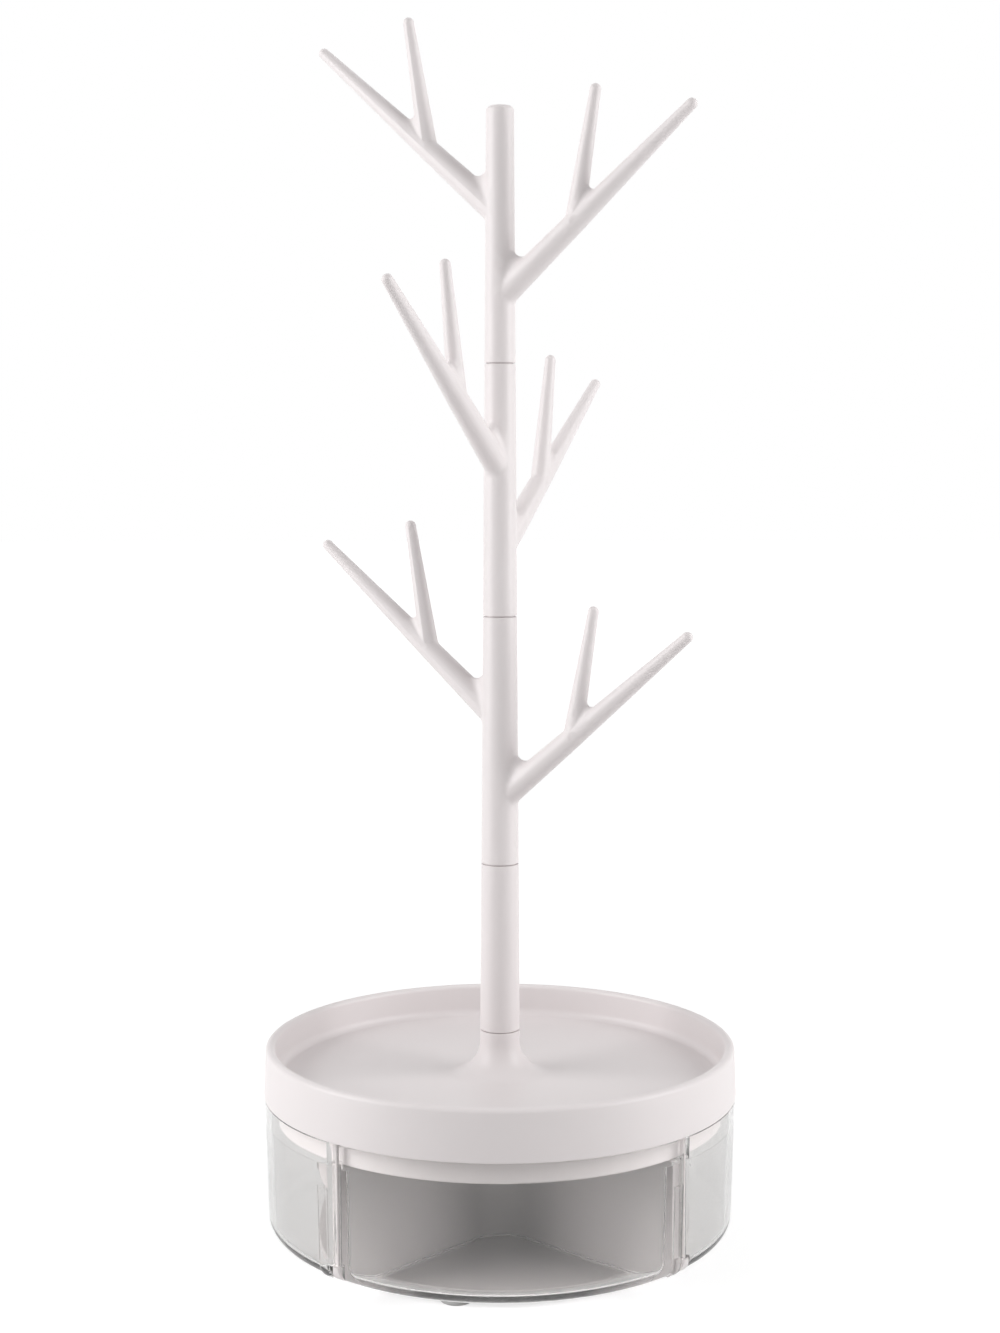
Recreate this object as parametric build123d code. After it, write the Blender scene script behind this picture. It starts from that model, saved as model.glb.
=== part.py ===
from build123d import *
import math
import os

# Jewelry stand: four clear drawers that swing out from under a round tray, and a tapered
# pole with six forked branches. Millimetres, +Z up. The origin is the centre of the
# underside, on the pole's axis, and the front drawer faces -Y.

# ---- driving dimensions -------------------------------------------------------------
LIP_Z = 65.3              # top of the tray's rim
LIP_RADIUS = 72.2         # outer radius of the rim at the lip
RIM_Z = 49.9              # bottom edge of the rim
RIM_RADIUS = 72.8         # outer radius of the rim at its bottom edge
RIM_WALL = 3.0
RIM_FOOT = 3.8            # thickness of the rim under the tray's floor
RIM_ROUND = 0.45          # outer bottom edge of the rim
TRAY_DEPTH = 10.3         # lip down to the tray's floor
TRAY_FLOOR = 2.2          # thickness of the tray's floor
TRAY_CORNER = 2.5         # round between floor and rim

POLE_Z = 68.5             # top of the tray's neck, where the pole begins
POLE_RADIUS = 6.1         # radius there
POLE_TOP_RADIUS = 4.2     # radius at the very top
NECK_ROUND = 10.5         # sweep from the neck out to the tray's floor
TUBE_LENGTH = 52.0        # plain length above the neck
SECTION_LENGTH = 76.0     # one branch section
SECTION_TURNS = {"lower": -30.2, "middle": 57.8, "upper": -30.2}
SEAM_CHAMFER = 0.12
SEAM_GAP = (0.35, 0.8)    # width, depth of the shadow gap at each seam
TOP_ROUND = 0.9

SPIGOT_RADIUS = 3.2
SPIGOT_LENGTH = 11.5
SPIGOT_CHAMFER = 0.5
SOCKET_DEPTH = 12.0
TURNING_FIT = 0.05        # radial clearance of a turning fit

LOW_BRANCH_Z = 19.5       # above a section's lower end, on the pole's axis
HIGH_BRANCH_Z = 44.1
BRANCH_REACH = 61.7       # pole axis to the centre of the outer tip
BRANCH_RISE = 52.5        # from the branch's foot to the outer tip
FORK_REACH = 24.7         # pole axis to the fork
TWIG_REACH = 6.7          # fork to the inner tip, outwards
TWIG_RISE = 38.0          # fork to the inner tip, upwards
BRANCH_FOOT_RADIUS = 4.0
BRANCH_FORK_RADIUS = 3.25
TWIG_FOOT_RADIUS = 3.0
TIP_RADIUS = 1.65
BRANCH_FILLET = 3.0       # round where a branch leaves the pole
FORK_FILLET = 1.6

DRAWER_Z = 5.2            # underside of the drawers
DRAWER_TOP = 49.7
DRAWER_RADIUS = 72.6      # outer radius at the top
DRAWER_LOW_RADIUS = 71.7  # outer radius above the bottom corner
CORNER_ROUND = 5.0        # upper, tight part of the bottom corner
DISH_ROUND = 28.0         # lower, slow part of the bottom corner
CORNER_TURN = 60.0        # degrees that the tight part turns through
DRAWER_WALL = 2.0
SIDE_WALL = 1.8           # the two straight walls of a drawer
SIDE_TOP = 42.2           # their top, under the skirt
CAVITY_ROUND = 4.0        # a drawer's inner edges, along its floor and up its curved wall
UPPER_WALL = 2.1          # thickness of the curved wall above the straight ones
FREE_GAP = 0.3            # seam plane to a drawer's free end

PARTITION = 2.0           # thickness of the walls between drawers
PARTITION_GAP = 0.4
PARTITION_REACH = 68.0
PARTITION_FOOT = 51.0     # reach of the partitions' lowest step, on the base plate
HUB_ROUND = 12.0          # round between two partitions, at the pole's axis

HINGE_PLACE = (70.4, 2.2) # hinge axis of the quarter between +X and +Y
BARREL_RADIUS = 1.7
BARREL_PROUD = 0.2        # how far the barrel stands out of the curved wall
BARREL_Z = (13.6, 44.3)
BARREL_ROUND = 0.7
LUG_Z = (9.0, 13.2)
LUG_CLEARANCE = 0.4
ARM_GAP = 0.1             # seam plane to the arm that carries a lug
PIN_RADIUS = 0.6
PIN_Z = (11.4, 53.9)

GRIP_Z = (9.0, 36.4)      # raised grip beside a drawer's free end
GRIP_SPAN = (0.7, 4.2)    # its edges, measured from the seam plane
GRIP_PROUD = 0.5
GRIP_ROUND = 0.3

SKIRT_RADIUS = 68.2
SKIRT_WALL = 1.5
SKIRT_Z = 42.7
SKIRT_ROUND = 0.5
DECK_THICKNESS = 2.0
DECK_RADIUS = 68.8

BASE_RADIUS = 52.0
BASE_Z = (1.5, 4.2)
BASE_ROUND = 0.8
FOOT_RADIUS = 4.9
FOOT_PLACE = 46.8         # pole axis to the centre of a foot
FOOT_TURN = -107.8
FOOT_ROUND = 0.5

SCREW_PLACE = 34.0        # pole axis to a deck screw
SCREW_RADIUS = 1.25
SCREW_HEAD = (2.6, 1.8)   # radius, height
SCREW_TOP = 54.0
BOSS_RADIUS = 4.0
BOLT_RADIUS = 2.0
BOLT_HEAD = (3.8, 1.5)
BOLT_TOP = 55.6
HOLE_PLAY = 0.2

QUARTERS = {"front": -135.0, "right": -45.0, "back": 45.0, "left": 135.0}

# ---- worked out from them -----------------------------------------------------------
FLOOR_Z = LIP_Z - TRAY_DEPTH
UNDER_Z = FLOOR_Z - TRAY_FLOOR
DECK_Z = RIM_Z + DECK_THICKNESS
TUBE_TOP = POLE_Z + TUBE_LENGTH
POLE_TOP = TUBE_TOP + 3 * SECTION_LENGTH
SIDE_PLANE = PARTITION / 2 + PARTITION_GAP
PAST_PARTITION = PARTITION_REACH + PARTITION_GAP
BORE_RADIUS = PIN_RADIUS + TURNING_FIT
SOCKET_RADIUS = SPIGOT_RADIUS + TURNING_FIT
FAR = 100.0               # larger than the base, for cutting blocks


def pole_radius(z):
    """Outer radius of the tapered pole at a height."""
    share = (z - POLE_Z) / (POLE_TOP - POLE_Z)
    return POLE_RADIUS + share * (POLE_TOP_RADIUS - POLE_RADIUS)


def turned(outline):
    """Solid of revolution about the pole's axis from closed (radius, z) edges."""
    return revolve(Plane.XZ * make_face(outline), Axis.Z)


def rod(radius, low, high, x=0.0, y=0.0):
    """Upright cylinder between two heights."""
    return Pos(x, y, low) * Cylinder(radius, high - low, align=(Align.CENTER, Align.CENTER, Align.MIN))


def block(low, high):
    """Box from its lowest to its highest corner."""
    size = [b - a for a, b in zip(low, high)]
    return Pos(*low) * Box(*size, align=(Align.MIN, Align.MIN, Align.MIN))


def around(count, radius):
    """Evenly spaced places on a circle about the pole's axis, from +X on."""
    for index in range(count):
        angle = math.radians(index * 360.0 / count)
        yield radius * math.cos(angle), radius * math.sin(angle)


# ---- base ---------------------------------------------------------------------------
def base_plate():
    low, high = BASE_Z
    plate = rod(BASE_RADIUS, low, high)
    plate = fillet(plate.edges().filter_by(GeomType.CIRCLE), BASE_ROUND)
    head_radius, head_height = BOLT_HEAD
    plate -= rod(head_radius + HOLE_PLAY, low, low + HOLE_PLAY + head_height)
    return plate - rod(BOLT_RADIUS + HOLE_PLAY, low, high)


def foot(angle):
    """Round pad on the underside of the base plate."""
    x = FOOT_PLACE * math.cos(math.radians(angle))
    y = FOOT_PLACE * math.sin(math.radians(angle))
    pad = rod(FOOT_RADIUS, 0, BASE_Z[0], x, y)
    return fillet(pad.edges().sort_by(Axis.Z)[0], FOOT_ROUND)


# ---- drawers ------------------------------------------------------------------------
def bowl(inset, top):
    """Filled drum with the drawers' outer shape, or the shape a given inset inside it."""
    turn = math.radians(CORNER_TURN)
    flat = DRAWER_LOW_RADIUS - CORNER_ROUND * (1 - math.cos(turn)) - DISH_ROUND * math.cos(turn)
    floor = DRAWER_Z + inset
    dish = JernArc((flat, floor), (1, 0), DISH_ROUND - inset, 90 - CORNER_TURN)
    corner = JernArc(dish @ 1, dish % 1, CORNER_ROUND - inset, CORNER_TURN)
    wall = Line(corner @ 1, (DRAWER_RADIUS - inset, top))
    rest = Polyline(wall @ 1, (0, top), (0, floor), (flat, floor))
    return turned([*dish.edges(), *corner.edges(), *wall.edges(), *rest.edges()])


def quarter(side):
    """Corner space between +X and +Y, this far inside both seam planes, rounded like the hub."""
    space = block((side, side, 0), (FAR, FAR, FAR))
    corner = space.edges().filter_by(Axis.Z).sort_by_distance((0, 0, 0))[0]
    return fillet(corner, HUB_ROUND + PARTITION / 2 - side)


def drawer_cavity():
    """Space inside one quarter drawer, with rounded edges all round but at the open top."""
    space = bowl(DRAWER_WALL, DRAWER_TOP + DRAWER_WALL) & quarter(SIDE_PLANE + SIDE_WALL)
    sides = space.faces().filter_by(Axis.X) + space.faces().filter_by(Axis.Y)
    edges = sides.edges() - sides.edges().filter_by(Axis.Z) - sides.edges().group_by(Axis.Z)[-1]
    floor = space.faces().sort_by(Axis.Z)[0]
    low_corner = floor.edges().filter_by(GeomType.CIRCLE).sort_by(SortBy.RADIUS)[0]
    return fillet([*edges, low_corner], CAVITY_ROUND)


def grip():
    """Upright rib on the outside of the curved wall, beside the free end."""
    near, far = GRIP_SPAN
    low, high = GRIP_Z
    rib = bowl(-GRIP_PROUD, DRAWER_TOP) & block((near, PAST_PARTITION, low), (far, FAR, high))
    rib -= bowl(DRAWER_WALL / 2, DRAWER_TOP)
    outside = rib.edges().filter_by(lambda edge: math.hypot(edge.center().X, edge.center().Y) > DRAWER_RADIUS)
    return fillet(outside.filter_by(lambda edge: edge.center().Z > low), GRIP_ROUND)


def drawer():
    """Quarter drawer between +X, where its hinge is, and +Y, where its free end is."""
    low, high = BARREL_Z
    free_end = block((FREE_GAP, PAST_PARTITION, 0), (FAR, FAR, FAR))
    body = bowl(0, DRAWER_TOP) & (quarter(SIDE_PLANE) + free_end)
    body -= drawer_cavity()

    # only the curved wall stands past the skirt
    body -= rod(DRAWER_RADIUS - UPPER_WALL, SIDE_TOP, FAR)
    body += grip()

    # the hinge end stays inside what the swing leaves free, and clear of the lug
    body -= block((PAST_PARTITION, 0, 0), (FAR, HINGE_PLACE[1], FAR))
    body -= rod(BARREL_RADIUS + LUG_CLEARANCE, 0, low, *HINGE_PLACE)

    barrel = rod(BARREL_RADIUS, low, high, *HINGE_PLACE)
    barrel = fillet(barrel.edges().sort_by(Axis.Z)[-1], BARREL_ROUND)
    body += barrel & bowl(-BARREL_PROUD, DRAWER_TOP)
    return body - rod(BORE_RADIUS, 0, FAR, *HINGE_PLACE)


def partition_frame():
    """Four walls between the drawers, rounded where they meet, with a lug under each hinge."""
    half = PARTITION / 2
    corner = half + HUB_ROUND
    hub = block((-corner, -corner, BASE_Z[1]), (corner, corner, RIM_Z))
    for x, y in ((1, 1), (-1, 1), (-1, -1), (1, -1)):
        hub -= rod(HUB_ROUND, 0, FAR, x * corner, y * corner)
    walls = Rot(0, 0, QUARTERS["back"]) * hub
    shape = bowl(0, FAR) + rod(PARTITION_FOOT, BASE_Z[1], DRAWER_Z + DRAWER_WALL)
    wall = block((0, -half, BASE_Z[1]), (PARTITION_REACH, half, RIM_Z)) & shape
    inside_skirt = SKIRT_RADIUS - SKIRT_WALL - PARTITION_GAP
    wall -= block((inside_skirt, -half, SKIRT_Z - PARTITION_GAP), (FAR, half, FAR))
    low, high = LUG_Z
    lug = rod(BARREL_RADIUS, low, high, *HINGE_PLACE)
    lug += block((PARTITION_REACH - PARTITION, ARM_GAP, low), (HINGE_PLACE[0], half, high))
    lug &= bowl(-BARREL_PROUD, FAR)
    lug -= rod(PIN_RADIUS, PIN_Z[0], FAR, *HINGE_PLACE)
    for angle in QUARTERS.values():
        walls += Rot(0, 0, angle) * (wall + lug)
    return walls - rod(BOLT_RADIUS + HOLE_PLAY, 0, FAR)


def hinge_pin(angle):
    low, high = PIN_Z
    return Rot(0, 0, angle) * rod(PIN_RADIUS, low, high, *HINGE_PLACE)


# ---- tray ---------------------------------------------------------------------------
def deck_plate():
    """Plate that closes the tray's underside, with the skirt that covers the drawers."""
    inner = SKIRT_RADIUS - SKIRT_WALL
    outline = Polyline(
        (0, RIM_Z), (inner, RIM_Z), (inner, SKIRT_Z), (SKIRT_RADIUS, SKIRT_Z),
        (SKIRT_RADIUS, RIM_Z), (DECK_RADIUS, RIM_Z), (DECK_RADIUS, DECK_Z), (0, DECK_Z), (0, RIM_Z),
    )
    plate = turned(outline)
    edge = plate.edges().filter_by(GeomType.CIRCLE).sort_by(Axis.Z)[:2]
    plate = fillet(edge, SKIRT_ROUND)
    for x, y in around(4, SCREW_PLACE):
        plate -= rod(SCREW_RADIUS + HOLE_PLAY, RIM_Z, DECK_Z, x, y)
    return plate - rod(BOLT_RADIUS + HOLE_PLAY, RIM_Z, DECK_Z)


def tray():
    """Rim, floor and flared neck in one piece."""
    lip_round = RIM_WALL / 2
    lip_low = LIP_Z - lip_round
    inner = LIP_RADIUS - RIM_WALL
    under = RIM_RADIUS - RIM_FOOT
    neck_low = FLOOR_Z + NECK_ROUND
    bore_low = POLE_Z - SOCKET_DEPTH
    lip = CenterArc((LIP_RADIUS - lip_round, lip_low), lip_round, 0, 180)
    corner = CenterArc((inner - TRAY_CORNER, FLOOR_Z + TRAY_CORNER), TRAY_CORNER, 0, -90)
    sweep = CenterArc((POLE_RADIUS + NECK_ROUND, neck_low), NECK_ROUND, -90, -90)
    edges = [
        Line((RIM_RADIUS, RIM_Z), lip @ 0), lip, Line(lip @ 1, corner @ 0), corner,
        Line(corner @ 1, sweep @ 0), sweep,
        Polyline(
            sweep @ 1, (POLE_RADIUS, POLE_Z - SEAM_CHAMFER), (POLE_RADIUS - SEAM_CHAMFER, POLE_Z),
            (SOCKET_RADIUS, POLE_Z), (SOCKET_RADIUS, bore_low), (0, bore_low), (0, UNDER_Z),
            (under, UNDER_Z), (under, RIM_Z), (RIM_RADIUS, RIM_Z),
        ),
    ]
    body = turned([edge for line in edges for edge in line.edges()])
    bottom = body.edges().filter_by(GeomType.CIRCLE).group_by(Axis.Z)[0]
    body = fillet(bottom.sort_by(SortBy.RADIUS)[-1], RIM_ROUND)
    for x, y in around(4, SCREW_PLACE):
        body += rod(BOSS_RADIUS, DECK_Z, UNDER_Z, x, y)
        body -= rod(SCREW_RADIUS, DECK_Z, SCREW_TOP, x, y)
    body += rod(BOSS_RADIUS, DECK_Z, UNDER_Z) - rod(BOLT_RADIUS, DECK_Z, UNDER_Z)
    body -= rod(BOLT_RADIUS, UNDER_Z, BOLT_TOP)
    for angle in QUARTERS.values():
        body -= Rot(0, 0, angle) * rod(PIN_RADIUS, RIM_Z, PIN_Z[1], *HINGE_PLACE)
    return body


def deck_screws():
    head_radius, head_height = SCREW_HEAD
    screws = []
    for x, y in around(4, SCREW_PLACE):
        head = rod(head_radius, RIM_Z - head_height, RIM_Z, x, y)
        screws.append(head + rod(SCREW_RADIUS, RIM_Z, SCREW_TOP, x, y))
    return Compound(screws)


def tie_bolt():
    """Long bolt that draws the base, the partitions and the tray together."""
    head_radius, head_height = BOLT_HEAD
    low = BASE_Z[0] + HOLE_PLAY
    return rod(head_radius, low, low + head_height) + rod(BOLT_RADIUS, low, BOLT_TOP)


# ---- pole ---------------------------------------------------------------------------
def pole_length(low, high, open_top=True):
    """Tapered length of pole with its spigot below and, unless it is the last, a socket."""
    chamfer = SEAM_CHAMFER
    top_cut = chamfer if open_top else TOP_ROUND
    gap, depth = SEAM_GAP
    outer = pole_radius(low)
    outline = Polyline(
        (0, low - SPIGOT_LENGTH), (SPIGOT_RADIUS - SPIGOT_CHAMFER, low - SPIGOT_LENGTH),
        (SPIGOT_RADIUS, low - SPIGOT_LENGTH + SPIGOT_CHAMFER), (SPIGOT_RADIUS, low),
        (outer - depth, low), (outer - depth, low + gap),
        (outer - chamfer, low + gap), (outer, low + gap + chamfer),
        (pole_radius(high), high - top_cut), (pole_radius(high) - top_cut, high),
        (0, high), (0, low - SPIGOT_LENGTH),
    )
    length = turned(outline)
    if open_top:
        length -= rod(SOCKET_RADIUS, high - SOCKET_DEPTH, high)
    return length


def tapered_rod(*stations):
    """Upright rod from the origin through (height, radius) stations, with a round tip."""
    length, tip = stations[-1]
    side = Polyline((0, 0), *[(radius, height) for height, radius in stations])
    end = CenterArc((0, length), tip, 0, 90)
    axis = Line(end @ 1, (0, 0))
    return Rot(0, 0, 90) * turned([*side.edges(), *end.edges(), *axis.edges()])


def branch():
    """Forked branch in the XZ plane, rising towards +X from its foot at the origin."""
    slope = math.atan2(BRANCH_RISE, BRANCH_REACH)
    fork = FORK_REACH / math.cos(slope)
    length = math.hypot(BRANCH_RISE, BRANCH_REACH)
    stem = tapered_rod((0, BRANCH_FOOT_RADIUS), (fork, BRANCH_FORK_RADIUS), (length, TIP_RADIUS))
    stem = Rot(0, 90 - math.degrees(slope), 0) * stem
    twig = tapered_rod((0, TWIG_FOOT_RADIUS), (math.hypot(TWIG_REACH, TWIG_RISE), TIP_RADIUS))
    twig = Rot(0, math.degrees(math.atan2(TWIG_REACH, TWIG_RISE)), 0) * twig
    forked = stem + Pos(FORK_REACH, 0, fork * math.sin(slope)) * twig
    return fillet(forked.edges().filter_by(GeomType.BSPLINE), FORK_FILLET)


def branch_section(low, open_top):
    """Length of pole with a low branch on one side and a high one on the other."""
    section = Rot(0, 0, 90) * pole_length(low, low + SECTION_LENGTH, open_top)
    for height, side in ((low + LOW_BRANCH_Z, 1), (low + HIGH_BRANCH_Z, -1)):
        section += Rot(0, 0, 90 - 90 * side) * (Pos(0, 0, height) * branch())
        curved = section.edges().filter_by(GeomType.BSPLINE)
        beside_pole = [edge for edge in curved if 0 < side * edge.center().X < FORK_REACH / 3]
        join = [edge for edge in beside_pole if abs(edge.center().Z - height) < FORK_REACH / 2]
        section = fillet(join, BRANCH_FILLET)
    return section


# ---- assembly -----------------------------------------------------------------------
def all_parts():
    parts = {
        "base_plate": base_plate(),
        "partition_frame": partition_frame(),
        "deck_plate": deck_plate(),
        "tray": tray(),
        "deck_screws": deck_screws(),
        "tie_bolt": tie_bolt(),
        "pole_tube": pole_length(POLE_Z, TUBE_TOP),
    }
    one_drawer = drawer()
    for index, (side, angle) in enumerate(QUARTERS.items()):
        parts["drawer_" + side] = Rot(0, 0, angle) * one_drawer
        parts["hinge_pin_" + side] = hinge_pin(angle)
        parts["foot_" + side] = foot(FOOT_TURN + 90.0 * index)
    for index, (place, angle) in enumerate(SECTION_TURNS.items()):
        low = TUBE_TOP + index * SECTION_LENGTH
        section = branch_section(low, open_top=place != "upper")
        parts["branch_section_" + place] = Rot(0, 0, angle) * section
    return parts


os.makedirs("parts", exist_ok=True)
for name, shape in all_parts().items():
    export_step(shape, "parts/" + name + ".step")
    print(name, len(shape.solids()), "solids,", round(shape.volume / 1000, 2), "cm3")
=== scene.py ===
# %% [markdown]
# # Jewelry stand with four swing-out drawers
# On the real object a round white tray sits over four clear quarter drawers, and a tapered
# pole with six forked branches rises from the tray's middle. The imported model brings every
# solid in its place, so this lesson only gives the stand its looks: better surfaces where a
# turned shape or a repeated part shows, a moulded finish on each plastic, a white studio and
# a camera. All lengths are in metres; MM turns a size in millimetres into one.

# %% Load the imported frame
import bpy
import math
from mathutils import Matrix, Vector


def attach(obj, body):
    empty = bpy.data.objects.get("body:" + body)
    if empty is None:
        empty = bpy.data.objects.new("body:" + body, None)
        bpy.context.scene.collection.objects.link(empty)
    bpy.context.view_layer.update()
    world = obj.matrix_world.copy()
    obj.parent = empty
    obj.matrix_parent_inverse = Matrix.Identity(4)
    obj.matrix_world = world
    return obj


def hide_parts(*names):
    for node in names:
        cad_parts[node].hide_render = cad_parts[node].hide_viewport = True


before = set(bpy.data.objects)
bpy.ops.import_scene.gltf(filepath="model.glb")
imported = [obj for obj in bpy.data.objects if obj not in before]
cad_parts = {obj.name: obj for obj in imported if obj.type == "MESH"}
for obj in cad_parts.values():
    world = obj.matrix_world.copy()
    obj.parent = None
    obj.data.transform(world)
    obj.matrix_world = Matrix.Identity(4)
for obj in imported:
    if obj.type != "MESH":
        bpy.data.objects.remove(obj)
scene = bpy.context.scene
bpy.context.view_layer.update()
MM = 0.001

# %% [markdown]
# ## Camera
# The stand was photographed from a little above the tray, a short step away. The distance,
# the height and the lens were found by fitting the branch tips, the pole's joints and the
# rim's ellipse, so the camera is set from those numbers and not by eye. The picture is
# treated as 1000 by 1333 points, and the lens follows from its focal length in points.

# %% Camera
PICTURE_WIDTH = 1000
FOCAL_POINTS = 2125.4
SENSOR_WIDTH = 36.0
CAMERA_REACH = 644.5 * MM       # from the pole's axis, along the floor
CAMERA_HEIGHT = 242.7 * MM
CAMERA_AZIMUTH = math.radians(-92.1)
CAMERA_DIP = math.radians(5.446)

lens = bpy.data.cameras.new("camera")
lens.sensor_fit = "HORIZONTAL"
lens.sensor_width = SENSOR_WIDTH
lens.lens = SENSOR_WIDTH * FOCAL_POINTS / PICTURE_WIDTH
camera = bpy.data.objects.new("camera", lens)
scene.collection.objects.link(camera)
camera.location = (
    CAMERA_REACH * math.cos(CAMERA_AZIMUTH), CAMERA_REACH * math.sin(CAMERA_AZIMUTH), CAMERA_HEIGHT
)
camera.rotation_euler = (math.pi / 2 - CAMERA_DIP, 0, CAMERA_AZIMUTH + math.pi / 2)
scene.camera = camera
print("lens, mm:", round(lens.lens, 1))

# %% [markdown]
# ## Nodes from Python
# Shader nodes and geometry nodes are added and wired in the same way, so three small helpers
# serve both kinds of tree. A socket is named in the call, and takes a plain value or a link.

# %% Node helpers
def blank_nodes(owner):
    """Turns on nodes for a material or a world and clears them."""
    owner.use_nodes = True
    owner.node_tree.nodes.clear()
    return owner.node_tree


def add(tree, kind, settings=None, **sockets):
    """Adds a node; settings are its properties, sockets its values or links by socket name."""
    node = tree.nodes.new(kind)
    for key, value in (settings or {}).items():
        setattr(node, key, value)
    for key, value in sockets.items():
        socket = node.inputs[key.replace("_", " ")]
        if isinstance(value, bpy.types.NodeSocket):
            tree.links.new(value, socket)
        else:
            socket.default_value = value
    return node


def number(tree, operation, first, second):
    """Math node on two values or links; gives its output."""
    node = add(tree, "ShaderNodeMath", {"operation": operation})
    for socket, value in zip(node.inputs, (first, second)):
        if isinstance(value, bpy.types.NodeSocket):
            tree.links.new(value, socket)
        else:
            socket.default_value = value
    return node.outputs[0]


# %% [markdown]
# ## A white studio
# The picture's background is plain white, but the light on the object is only as strong as
# its own colours need. A Light Path node keeps the two apart: rays that the camera, a gloss
# or a clear wall sends out find white, and all other rays find the calm light of the room.
# A ray that has met a matt surface is light for good. Without that test, light thrown back
# inside a drawer would leave through its clear wall, find the white backdrop and come out
# far too bright. The world and the floor make the same choice, so a helper builds it.

# %% What is looked at, and what is light
ONE_MATT_BOUNCE = 0.5           # the depth is a whole number, so this lies between 0 and 1


def looked_at(tree):
    """1 for rays of the camera, of a gloss or through a clear wall, and 0 for light."""
    path = add(tree, "ShaderNodeLightPath")
    largest = path.outputs["Is Camera Ray"]
    for kind in ("Is Glossy Ray", "Is Transmission Ray"):
        largest = number(tree, "MAXIMUM", largest, path.outputs[kind])
    before_any_matt_surface = number(
        tree, "LESS_THAN", path.outputs["Diffuse Depth"], ONE_MATT_BOUNCE
    )
    return number(tree, "MULTIPLY", largest, before_any_matt_surface)


# %% World
ROOM_LIGHT = 0.25
WHITE_BACKDROP = 1.0
scene.view_settings.view_transform = "Standard"
world = bpy.data.worlds.new("studio")
scene.world = world
tree = blank_nodes(world)
strength = add(
    tree, "ShaderNodeMapRange", Value=looked_at(tree), To_Min=ROOM_LIGHT, To_Max=WHITE_BACKDROP
)
backdrop = add(
    tree, "ShaderNodeBackground", Color=(1, 1, 1, 1), Strength=strength.outputs[0]
)
output = add(tree, "ShaderNodeOutputWorld", Surface=backdrop.outputs[0])
print("room light", ROOM_LIGHT, "behind a backdrop of", WHITE_BACKDROP)

# %% [markdown]
# ## Lamps
# Both flanks of the rim are bright and its front is a step darker, and the pole has a soft
# dark core a little right of its middle. That is the mark of two tall softboxes at the
# sides, the left one stronger, with little light from the camera's direction.

# %% Lamps
LAMP_AIM = Vector((0, 0, 150 * MM))
SIDE_LAMP = {"elevation": 18, "distance": 0.95, "size": (0.7, 1.0)}
TOP_LAMP = {"elevation": 75, "distance": 1.0, "size": (0.9, 0.9)}


def softbox(name, azimuth, elevation, distance, size, power):
    """Rectangular area lamp at a compass angle round the stand, facing it."""
    lamp = bpy.data.lights.new(name, "AREA")
    lamp.shape = "RECTANGLE"
    lamp.size, lamp.size_y = size
    lamp.energy = power
    holder = bpy.data.objects.new(name, lamp)
    scene.collection.objects.link(holder)
    turn, rise = math.radians(azimuth), math.radians(elevation)
    away = Vector((
        math.cos(turn) * math.cos(rise), math.sin(turn) * math.cos(rise), math.sin(rise)
    ))
    holder.location = LAMP_AIM + distance * away
    holder.rotation_euler = (-away).to_track_quat("-Z", "Y").to_euler()
    print(name, "at, m:", [round(v, 2) for v in holder.location])


softbox("left_softbox", azimuth=-167, power=7.5, **SIDE_LAMP)
softbox("right_softbox", azimuth=-17, power=7.1, **SIDE_LAMP)
softbox("top_softbox", azimuth=90, power=1.1, **TOP_LAMP)

# %% [markdown]
# ## Floor
# A pale sheet carries the stand. Where it is looked at, it is nearly white by a glow of its
# own, with a share left to real light, so the stand's soft shadow stays. Seen through a clear
# drawer, the glow is held back and nearly all is left to real light, so the floor under the
# stand is as dim as it should be. For all other rays it is plain pale card that throws some
# light back up. Far from the stand, where the lamps fade, the glow rises to full white, so
# that no horizon shows.

# %% Floor sheet
FLOOR_SIZE = 12.0
half = FLOOR_SIZE / 2
sheet = bpy.data.meshes.new("floor")
corners = [(-half, -half, 0), (half, -half, 0), (half, half, 0), (-half, half, 0)]
sheet.from_pydata(corners, [], [(0, 1, 2, 3)])
floor = bpy.data.objects.new("floor", sheet)
scene.collection.objects.link(floor)
print("floor sheet, m:", [round(v, 1) for v in floor.dimensions])

# %% Floor card
NEAR_GLOW, NEAR_REACH = 0.72, 0.35
FAR_GLOW, FAR_REACH = 1.0, 2.2
OPEN_SHARE, THROUGH_SHARE = 0.5, 0.95   # real light, seen in the open and through a clear wall
THROUGH_LOSS = 0.46                     # glow held back through a clear wall
SPECKLE_SCALE, CARD_TONES = 30.0, (0.78, 0.82)

card = bpy.data.materials.new("pale_card")
tree = blank_nodes(card)
speckle = add(tree, "ShaderNodeTexNoise", Scale=SPECKLE_SCALE)
tone = add(
    tree, "ShaderNodeMapRange", Value=speckle.outputs["Fac"],
    To_Min=CARD_TONES[0], To_Max=CARD_TONES[1],
)
plain = add(tree, "ShaderNodeBsdfDiffuse", Color=tone.outputs[0])
place = add(tree, "ShaderNodeTexCoord").outputs["Object"]
reach = add(tree, "ShaderNodeVectorMath", {"operation": "LENGTH"}, Vector=place)
level = add(
    tree, "ShaderNodeMapRange", Value=reach.outputs["Value"],
    From_Min=NEAR_REACH, From_Max=FAR_REACH, To_Min=NEAR_GLOW, To_Max=FAR_GLOW,
)
through = add(tree, "ShaderNodeLightPath").outputs["Is Transmission Ray"]
real_share = add(
    tree, "ShaderNodeMapRange", Value=through, To_Min=OPEN_SHARE, To_Max=THROUGH_SHARE
)
held_back = number(
    tree, "SUBTRACT", level.outputs[0], number(tree, "MULTIPLY", through, THROUGH_LOSS)
)
glow = add(tree, "ShaderNodeEmission", Strength=held_back)
shaded = add(tree, "ShaderNodeBsdfDiffuse", Color=real_share.outputs[0])
white = add(tree, "ShaderNodeAddShader")
tree.links.new(glow.outputs[0], white.inputs[0])
tree.links.new(shaded.outputs[0], white.inputs[1])
choice = add(tree, "ShaderNodeMixShader", Fac=looked_at(tree))
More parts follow.
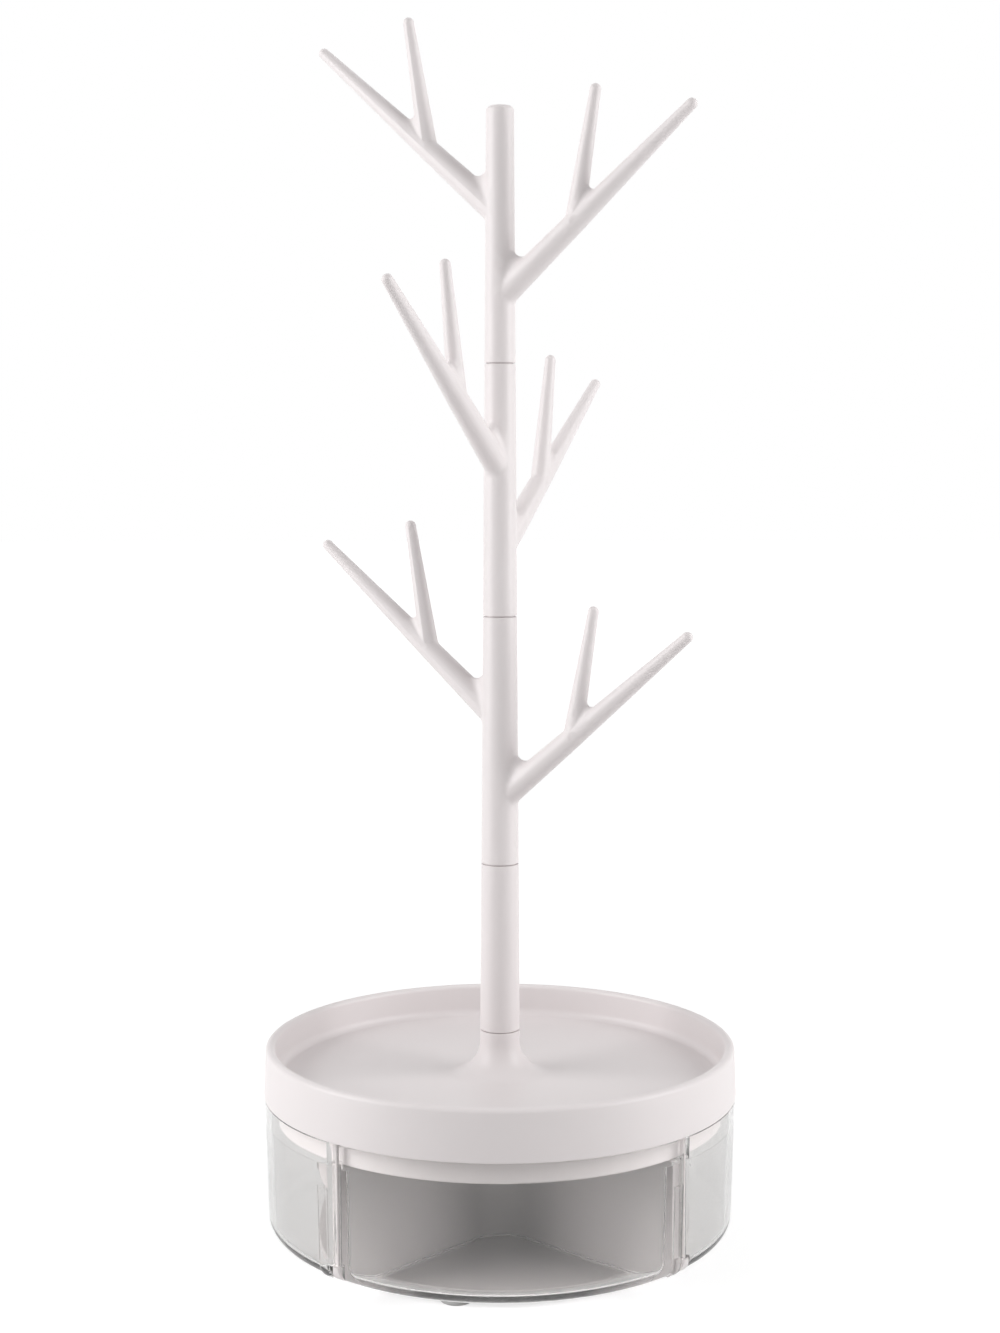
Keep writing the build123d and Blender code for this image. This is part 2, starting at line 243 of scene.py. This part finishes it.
tree.links.new(plain.outputs[0], choice.inputs[1])
tree.links.new(white.outputs[0], choice.inputs[2])
add(tree, "ShaderNodeOutputMaterial", Surface=choice.outputs[0])
sheet.materials.append(card)
print("card nodes:", len(tree.nodes))

# %% [markdown]
# ## Moulded plastic
# Injection-moulded plastic is never one flat colour. The melt leaves very faint clouds, the
# mould's fine spark texture breaks the gloss, and handling dulls it in patches. Three noises
# in Object coordinates, which are true metres here, give those three scales: clouds some
# centimetres wide in the colour, patches in the roughness, and a fine grain in the bump.

# %% Moulded finish
CLOUDS = {"Scale": 28.0, "Detail": 3.0}
PATCHES = {"Scale": 75.0, "Detail": 4.0}
GRAIN_DETAIL, GRAIN_STRENGTH = 2.0, 0.35
MIX_FIRST, MIX_SECOND, MIXED = 6, 7, 2      # the Mix node's sockets for colours


def moulded(name, pale, deep, gloss, grain, **fixed):
    """Plastic between two near colours; gloss (low, high), grain (per metre, depth)."""
    material = bpy.data.materials.new(name)
    tree = blank_nodes(material)
    place = add(tree, "ShaderNodeTexCoord").outputs["Object"]
    clouds = add(tree, "ShaderNodeTexNoise", Vector=place, **CLOUDS)
    colour = add(tree, "ShaderNodeMix", {"data_type": "RGBA"})
    tree.links.new(clouds.outputs["Fac"], colour.inputs["Factor"])
    colour.inputs[MIX_FIRST].default_value = (*deep, 1)
    colour.inputs[MIX_SECOND].default_value = (*pale, 1)
    patches = add(tree, "ShaderNodeTexNoise", Vector=place, **PATCHES)
    dull = add(
        tree, "ShaderNodeMapRange", Value=patches.outputs["Fac"], To_Min=gloss[0], To_Max=gloss[1]
    )
    per_metre, depth = grain
    spark = add(tree, "ShaderNodeTexNoise", Vector=place, Scale=per_metre, Detail=GRAIN_DETAIL)
    bump = add(
        tree, "ShaderNodeBump", Height=spark.outputs["Fac"], Strength=GRAIN_STRENGTH, Distance=depth
    )
    skin = add(
        tree, "ShaderNodeBsdfPrincipled", Roughness=dull.outputs[0], Normal=bump.outputs[0], **fixed
    )
    tree.links.new(colour.outputs[MIXED], skin.inputs["Base Color"])
    add(tree, "ShaderNodeOutputMaterial", Surface=skin.outputs[0])
    return material


# %% [markdown]
# ## Clear plastic
# The drawers are clear, and a real clear plastic bends light by an index of 1.49. With that
# index in the shader, rays turn back and forth inside the upright corners at the seams until
# the renderer drops them, and the corners come out dark, where the real ones are light. So
# the walls bend light only a little, and a thin coat at 1.49 gives them their true gloss.
# What the low index takes away comes back in two steps. The colour is greyed where a wall is
# seen at a slant: partly for the longer way through the plastic there, and partly as painted
# shade that stands in for the darker reflections and bent light the low index leaves out. And
# lamplight passes straight through, so that the drawers don't cast the black shadow of a
# closed box.

# %% Helpers for the clear plastic
SLANT_BLEND, SLANT_START = 0.35, 0.2


def paint_slant_shade(material, share):
    """Painted shade: scales the colour to a share of itself where the surface is seen at a slant.
    """
    tree = material.node_tree
    socket = tree.nodes["Principled BSDF"].inputs["Base Color"]
    slant = add(tree, "ShaderNodeLayerWeight", Blend=SLANT_BLEND)
    grey = add(
        tree, "ShaderNodeMapRange", Value=slant.outputs["Facing"],
        From_Min=SLANT_START, To_Min=1.0, To_Max=share,
    )
    shade = add(tree, "ShaderNodeVectorMath", {"operation": "SCALE"}, Scale=grey.outputs[0])
    tree.links.new(socket.links[0].from_socket, shade.inputs[0])
    tree.links.new(shade.outputs[0], socket)


def let_lamps_through(material, tint):
    """Lets lamplight pass straight, losing a little at each face, as a thin wall does."""
    tree = material.node_tree
    output = tree.nodes["Material Output"]
    path = add(tree, "ShaderNodeLightPath")
    passing = add(tree, "ShaderNodeBsdfTransparent", Color=(*tint, 1))
    choice = add(tree, "ShaderNodeMixShader", Fac=path.outputs["Is Shadow Ray"])
    tree.links.new(output.inputs["Surface"].links[0].from_socket, choice.inputs[1])
    tree.links.new(passing.outputs[0], choice.inputs[2])
    tree.links.new(choice.outputs[0], output.inputs["Surface"])


# %% The four finishes
white_plastic = moulded(
    "white_plastic", pale=(0.85, 0.80, 0.80), deep=(0.82, 0.77, 0.77),
    gloss=(0.34, 0.44), grain=(1400.0, 0.012 * MM),
)
clear_plastic = moulded(
    "clear_plastic", pale=(0.92, 0.915, 0.91), deep=(0.895, 0.89, 0.885),
    gloss=(0.03, 0.09), grain=(220.0, 0.02 * MM),
    Transmission_Weight=0.94, IOR=1.15, Coat_Weight=0.25, Coat_IOR=1.49, Coat_Roughness=0.05,
)
# Painted shade: the clear walls' colour falls to 80 per cent where they are seen at a slant.
paint_slant_shade(clear_plastic, share=0.80)
let_lamps_through(clear_plastic, tint=(0.98, 0.98, 0.98))
foot_rubber = moulded(
    "foot_rubber", pale=(0.56, 0.56, 0.55), deep=(0.49, 0.49, 0.485),
    gloss=(0.55, 0.75), grain=(900.0, 0.12 * MM),
)
steel = moulded(
    "steel", pale=(0.66, 0.66, 0.65), deep=(0.55, 0.55, 0.54),
    gloss=(0.22, 0.36), grain=(2600.0, 0.02 * MM), Metallic=1.0,
)
print("finishes:", [m.name for m in (white_plastic, clear_plastic, foot_rubber, steel)])

# %% [markdown]
# ## The frame's own pieces
# Drawers, pole, branches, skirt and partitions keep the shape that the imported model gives
# them. Each comes with one material slot whose name says what it is made of, so a small
# table from that name to the finish is all they need.

# %% Finishes on the frame's own pieces
FINISH_OF = {
    "white_plastic": white_plastic, "clear_plastic": clear_plastic,
    "foot_rubber": foot_rubber, "steel": steel,
}
for name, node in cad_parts.items():
    slot = node.material_slots[0]
    slot.material = FINISH_OF[slot.material.name.split(".")[0]]
print("pieces finished:", len(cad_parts))

# %% [markdown]
# ## A lathe in Geometry Nodes
# The tray, the feet and the screws are turned shapes: one outline carried round an axis. The
# Spin tool or a Screw modifier could do it, but a node tree states the rule itself: a grid
# of points, whose rows are the outline's points and whose columns are steps of the turn. It
# stays editable, with the number of steps as a named input, and other trees can use it.

# %% Tree helper
def new_tree(name, **inputs):
    """Geometry tree with a geometry input and output and more named inputs (kind, value)."""
    tree = bpy.data.node_groups.new(name, "GeometryNodeTree")
    for way in ("INPUT", "OUTPUT"):
        tree.interface.new_socket("Geometry", in_out=way, socket_type="NodeSocketGeometry")
    for label, (kind, value) in inputs.items():
        socket = tree.interface.new_socket(
            label.replace("_", " "), in_out="INPUT", socket_type="NodeSocket" + kind
        )
        if value is not None:
            socket.default_value = value
    return tree, tree.nodes.new("NodeGroupInput"), tree.nodes.new("NodeGroupOutput")


# %% The lathe tree
DEFAULT_STEPS = 192
WELD = 0.001 * MM               # points nearer than this become one, on the axis and the seam

lathe, given, result = new_tree("lathe", Steps=("Int", DEFAULT_STEPS))
outline_size = add(
    lathe, "GeometryNodeAttributeDomainSize", Geometry=given.outputs["Geometry"]
)
columns = number(lathe, "ADD", given.outputs["Steps"], 1)
grid = add(
    lathe, "GeometryNodeMeshGrid",
    Vertices_X=outline_size.outputs["Point Count"], Vertices_Y=columns,
)
index = add(lathe, "GeometryNodeInputIndex").outputs[0]
row = number(lathe, "FLOOR", number(lathe, "DIVIDE", index, columns), 0.0)
column = number(lathe, "SUBTRACT", index, number(lathe, "MULTIPLY", row, columns))
turn = number(
    lathe, "DIVIDE", number(lathe, "MULTIPLY", column, math.tau), given.outputs["Steps"]
)
at_row = add(lathe, "GeometryNodeSampleIndex", {"data_type": "FLOAT_VECTOR"})
lathe.links.new(given.outputs["Geometry"], at_row.inputs["Geometry"])
lathe.links.new(add(lathe, "GeometryNodeInputPosition").outputs[0], at_row.inputs["Value"])
lathe.links.new(row, at_row.inputs["Index"])
spun = add(
    lathe, "ShaderNodeVectorRotate", {"rotation_type": "Z_AXIS"},
    Vector=at_row.outputs[0], Angle=turn,
)
placed = add(
    lathe, "GeometryNodeSetPosition", Geometry=grid.outputs["Mesh"], Position=spun.outputs[0]
)
closed = add(lathe, "GeometryNodeMergeByDistance", Geometry=placed.outputs[0], Distance=WELD)
smooth = add(lathe, "GeometryNodeSetShadeSmooth", Geometry=closed.outputs[0])
lathe.links.new(smooth.outputs[0], result.inputs[0])
print("lathe nodes:", len(lathe.nodes))

# %% Outlines
ARC_STEP = 7.5                  # degrees between the points of an arc
FEWEST_ARC_STEPS = 3


def outline(*stretches):
    """Points (r, z) in mm from corners (r, z) and arcs (centre r, centre z, radius, from, to)."""
    points = []
    for stretch in stretches:
        if len(stretch) == 2:
            points.append(stretch)
            continue
        r, z, radius, start, stop = stretch
        steps = max(FEWEST_ARC_STEPS, round(abs(stop - start) / ARC_STEP))
        for step in range(steps + 1):
            angle = math.radians(start + (stop - start) * step / steps)
            points.append((r + radius * math.cos(angle), z + radius * math.sin(angle)))
    return points


# %% Finished pieces
def piece_from(name, points, tree, finish, body, sharp=32.0, **values):
    """Runs a tree on an outline in mm and leaves a plain mesh object that rides on a body."""
    wire = bpy.data.meshes.new(name + "_outline")
    edges = [(i, i + 1) for i in range(len(points) - 1)]
    wire.from_pydata([(r * MM, 0, z * MM) for r, z in points], edges, [])
    holder = bpy.data.objects.new(name + "_outline", wire)
    scene.collection.objects.link(holder)
    modifier = holder.modifiers.new("tree", "NODES")
    modifier.node_group = tree
    sockets = {s.name: s.identifier for s in tree.interface.items_tree if s.in_out == "INPUT"}
    for label, value in {"Finish": finish, **values}.items():
        modifier[sockets[label.replace("_", " ")]] = value
    seen = holder.evaluated_get(bpy.context.evaluated_depsgraph_get())
    mesh = bpy.data.meshes.new_from_object(seen)
    mesh.name = name
    bpy.data.objects.remove(holder)
    mesh.set_sharp_from_angle(angle=math.radians(sharp))
    piece = bpy.data.objects.new(name, mesh)
    scene.collection.objects.link(piece)
    mesh.calc_loop_triangles()
    size = [round(v / MM, 1) for v in piece.dimensions]
    print(name, len(mesh.loop_triangles), "triangles, size mm", size)
    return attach(piece, body)


# %% [markdown]
# ## Rings of turned pieces
# Feet and screws stand on a ring of equal places. The ring tree turns the outline once, cuts
# the driver's recess out of it where there is one, puts a copy on each place with a turn of
# its own, as a fitter leaves screws, and gives the result its finish. One place on a ring
# of no width is a single turned piece, so the tray uses the same tree. The recess is cut
# with the Exact solver, because the faster one loses most of such a small, fine mesh.

# %% The driver's recess
RECESS_INPUTS = {
    "Points": ("Int", 4), "Recess_Size": ("Float", 0.0), "Recess_Waist": ("Float", 0.0),
    "Recess_Low": ("Float", 0.0), "Recess_Height": ("Float", 0.0),
}


def cut_recess(tree, knob, shape):
    """Takes a star-shaped plug out of the shape; its sizes are the tree's own inputs."""
    star = add(
        tree, "GeometryNodeCurveStar", Points=knob["Points"],
        Inner_Radius=knob["Recess Waist"], Outer_Radius=knob["Recess Size"],
    )
    face = add(tree, "GeometryNodeFillCurve", {"mode": "NGONS"}, Curve=star.outputs["Curve"])
    plug = add(
        tree, "GeometryNodeExtrudeMesh", {"mode": "FACES"}, Mesh=face.outputs[0],
        Offset_Scale=knob["Recess Height"], Individual=False,
    )
    under = add(tree, "GeometryNodeFlipFaces", Mesh=face.outputs[0])
    both = add(tree, "GeometryNodeJoinGeometry")
    tree.links.new(plug.outputs["Mesh"], both.inputs[0])
    tree.links.new(under.outputs[0], both.inputs[0])
    whole = add(tree, "GeometryNodeMergeByDistance", Geometry=both.outputs[0], Distance=WELD)
    lift = add(tree, "ShaderNodeCombineXYZ", Z=knob["Recess Low"])
    cutter = add(
        tree, "GeometryNodeTransform", Geometry=whole.outputs[0], Translation=lift.outputs[0]
    )
    cut = add(tree, "GeometryNodeMeshBoolean", {"operation": "DIFFERENCE", "solver": "EXACT"})
    tree.links.new(shape, cut.inputs["Mesh 1"])
    tree.links.new(cutter.outputs[0], cut.inputs["Mesh 2"])
    return cut.outputs["Mesh"]


# %% The ring tree
TURN_SEED = 7
RANDOM_FLOAT_MAX, RANDOM_FLOAT = 3, 1       # the Random Value node's sockets for plain numbers


def ring_tree(name, with_recess):
    """Tree that turns an outline, may cut a star recess in it, and repeats it on a ring."""
    tree, given, result = new_tree(
        name, Steps=("Int", DEFAULT_STEPS), Places=("Int", 1), Ring_Radius=("Float", 0.0),
        First_Angle=("Float", 0.0), Loose_Turn=("Float", 0.0), Finish=("Material", None),
        **(RECESS_INPUTS if with_recess else {})
    )
    knob = given.outputs
    turned = add(
        tree, "GeometryNodeGroup", {"node_tree": lathe},
        Geometry=knob["Geometry"], Steps=knob["Steps"],
    )
    shape = turned.outputs[0]
    if with_recess:
        shape = cut_recess(tree, knob, shape)
    index = add(tree, "GeometryNodeInputIndex").outputs[0]
    share = number(tree, "DIVIDE", number(tree, "MULTIPLY", index, math.tau), knob["Places"])
    angle = number(tree, "ADD", share, knob["First Angle"])
    arm = add(tree, "ShaderNodeCombineXYZ", X=knob["Ring Radius"])
    place = add(
        tree, "ShaderNodeVectorRotate", {"rotation_type": "Z_AXIS"},
        Vector=arm.outputs[0], Angle=angle,
    )
    points = add(
        tree, "GeometryNodePoints", Count=knob["Places"], Position=place.outputs[0]
    )
    loose = add(tree, "FunctionNodeRandomValue", {"data_type": "FLOAT"}, Seed=TURN_SEED)
    tree.links.new(knob["Loose Turn"], loose.inputs[RANDOM_FLOAT_MAX])
    twist = add(tree, "ShaderNodeCombineXYZ", Z=loose.outputs[RANDOM_FLOAT])
    copies = add(
        tree, "GeometryNodeInstanceOnPoints",
        Points=points.outputs[0], Instance=shape, Rotation=twist.outputs[0],
    )
    real = add(tree, "GeometryNodeRealizeInstances", Geometry=copies.outputs[0])
    finished = add(
        tree, "GeometryNodeSetMaterial", Geometry=real.outputs[0], Material=knob["Finish"]
    )
    tree.links.new(finished.outputs[0], result.inputs[0])
    print(name, "nodes:", len(tree.nodes))
    return tree


turned_ring = ring_tree("turned_ring", with_recess=False)
screw_ring = ring_tree("screw_ring", with_recess=True)

# %% [markdown]
# ## Tray
# The tray is one moulding: a rim with a slight draft, a rounded lip, a shallow floor and a
# neck that sweeps up into the pole. It shows more than any other piece, so it is turned in
# 256 steps, and the rim's bottom edges get the small round that catches a line of light.

# %% Tray
TRAY_STEPS = 256
FLOOR_TOP, FLOOR_UNDER = 55.0, 52.8
RIM_INSIDE, RIM_LOW, RIM_EDGE_ROUND = 69.0, 49.9, 0.45
INNER_EDGE_CENTRE, OUTER_EDGE_CENTRE = 69.45, 72.32
LIP_CENTRE, LIP_HEIGHT, LIP_ROUND = 70.7, 63.8, 1.5
FILLET_CENTRE, FLOOR_FILLET = 66.7, 2.5
SWEEP_CENTRE, NECK_SWEEP = 16.6, 10.5
NECK_EDGE_CENTRE, NECK_TOP, NECK_EDGE_ROUND = 5.95, 68.5, 0.15
SOCKET_RADIUS, SOCKET_LOW = 3.25, 56.5

tray_outline = outline(
    (0.0, FLOOR_UNDER), (RIM_INSIDE, FLOOR_UNDER),
    (INNER_EDGE_CENTRE, RIM_LOW + RIM_EDGE_ROUND, RIM_EDGE_ROUND, 180, 270),
    (OUTER_EDGE_CENTRE, RIM_LOW + RIM_EDGE_ROUND, RIM_EDGE_ROUND, 270, 360),
    (LIP_CENTRE, LIP_HEIGHT, LIP_ROUND, 0, 180),
    (FILLET_CENTRE, FLOOR_TOP + FLOOR_FILLET, FLOOR_FILLET, 0, -90),
    (SWEEP_CENTRE, FLOOR_TOP + NECK_SWEEP, NECK_SWEEP, -90, -180),
    (NECK_EDGE_CENTRE, NECK_TOP - NECK_EDGE_ROUND, NECK_EDGE_ROUND, 0, 90),
    (SOCKET_RADIUS, NECK_TOP), (SOCKET_RADIUS, SOCKET_LOW), (0.0, SOCKET_LOW),
)
tray = piece_from(
    "tray_moulding", tray_outline, turned_ring, white_plastic, "stand", Steps=TRAY_STEPS
)
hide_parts("tray")

# %% [markdown]
# ## Feet
# Four grey pads keep the base off the table; one of them peeks out under the front. Each is
# a low disc whose lower edge is rounded by wear and whose sole is a touch hollow.

# %% Feet
FOOT_PLACE, FOOT_TURN = 46.8, math.radians(-107.8)
FOOT_TOP, SOLE_HOLLOW, SOLE_EDGE = 1.5, 0.12, 4.0
foot_outline = outline(
    (0.0, SOLE_HOLLOW), (3.4, SOLE_HOLLOW), (SOLE_EDGE, 0.0), (4.4, 0.5, 0.5, -90, 0),
    (4.9, 1.35), (4.75, FOOT_TOP), (0.0, FOOT_TOP),
)
feet = piece_from(
    "feet", foot_outline, turned_ring, foot_rubber, "stand",
    Steps=72, Places=4, Ring_Radius=FOOT_PLACE * MM, First_Angle=FOOT_TURN,
)
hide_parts(*["foot_" + side for side in ("front", "right", "back", "left")])

# %% [markdown]
# ## Screws
# Four pan-head screws hold the deck plate up under the tray, and one long bolt ties the base,
# the partitions and the tray together. They show only from below and through the clear
# drawers, but a bare cylinder would give them away there, so each has a recess for its
# driver, and the screws have domed heads. The screws' outline runs from the tip to the head,
# which faces down, so its order is turned round to keep the faces outwards.

# %% Deck screws
FASTENER_SHARP = 28.0
DECK_LOW, SCREW_TIP, SCREW_PLACE = 49.9, 54.0, 34.0
SHANK_RADIUS, TIP_TAPER = 1.25, 0.5
HEAD_RADIUS, HEAD_WALL, HEAD_DOME, HEAD_HEIGHT = 2.6, 0.7, 1.1, 1.8
screw_outline = outline(
    (0.0, SCREW_TIP), (0.9, SCREW_TIP), (SHANK_RADIUS, SCREW_TIP - TIP_TAPER),
    (SHANK_RADIUS, DECK_LOW), (HEAD_RADIUS, DECK_LOW), (HEAD_RADIUS, DECK_LOW - HEAD_WALL),
    (1.5, DECK_LOW - HEAD_WALL, HEAD_DOME, 0, -90), (0.0, DECK_LOW - HEAD_HEIGHT),
)
screws = piece_from(
    "deck_screw_set", screw_outline[::-1], screw_ring, steel, "stand", sharp=FASTENER_SHARP,
    Steps=40, Places=4, Ring_Radius=SCREW_PLACE * MM, Loose_Turn=1.4,
    Points=4, Recess_Size=1.5 * MM, Recess_Waist=0.45 * MM,
    Recess_Low=(DECK_LOW - 2.5) * MM, Recess_Height=1.7 * MM,
)
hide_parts("deck_screws")

# %% Tie bolt
BOLT_HEAD_LOW, BOLT_HEAD_HIGH, BOLT_TIP = 1.7, 3.2, 55.6
BOLT_HEAD_RADIUS, BOLT_RADIUS = 3.8, 2.0
bolt_outline = outline(
    (0.0, BOLT_HEAD_LOW), (3.4, BOLT_HEAD_LOW), (BOLT_HEAD_RADIUS, 2.0),
    (BOLT_HEAD_RADIUS, 3.0), (3.6, BOLT_HEAD_HIGH), (BOLT_RADIUS, BOLT_HEAD_HIGH),
    (BOLT_RADIUS, 55.2), (1.6, BOLT_TIP), (0.0, BOLT_TIP),
)
bolt = piece_from(
    "tie_bolt_body", bolt_outline, screw_ring, steel, "stand", sharp=FASTENER_SHARP,
    Steps=64, Places=1, Points=6, Recess_Size=1.85 * MM, Recess_Waist=1.6 * MM,
    Recess_Low=1.0 * MM, Recess_Height=1.6 * MM,
)
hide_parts("tie_bolt")
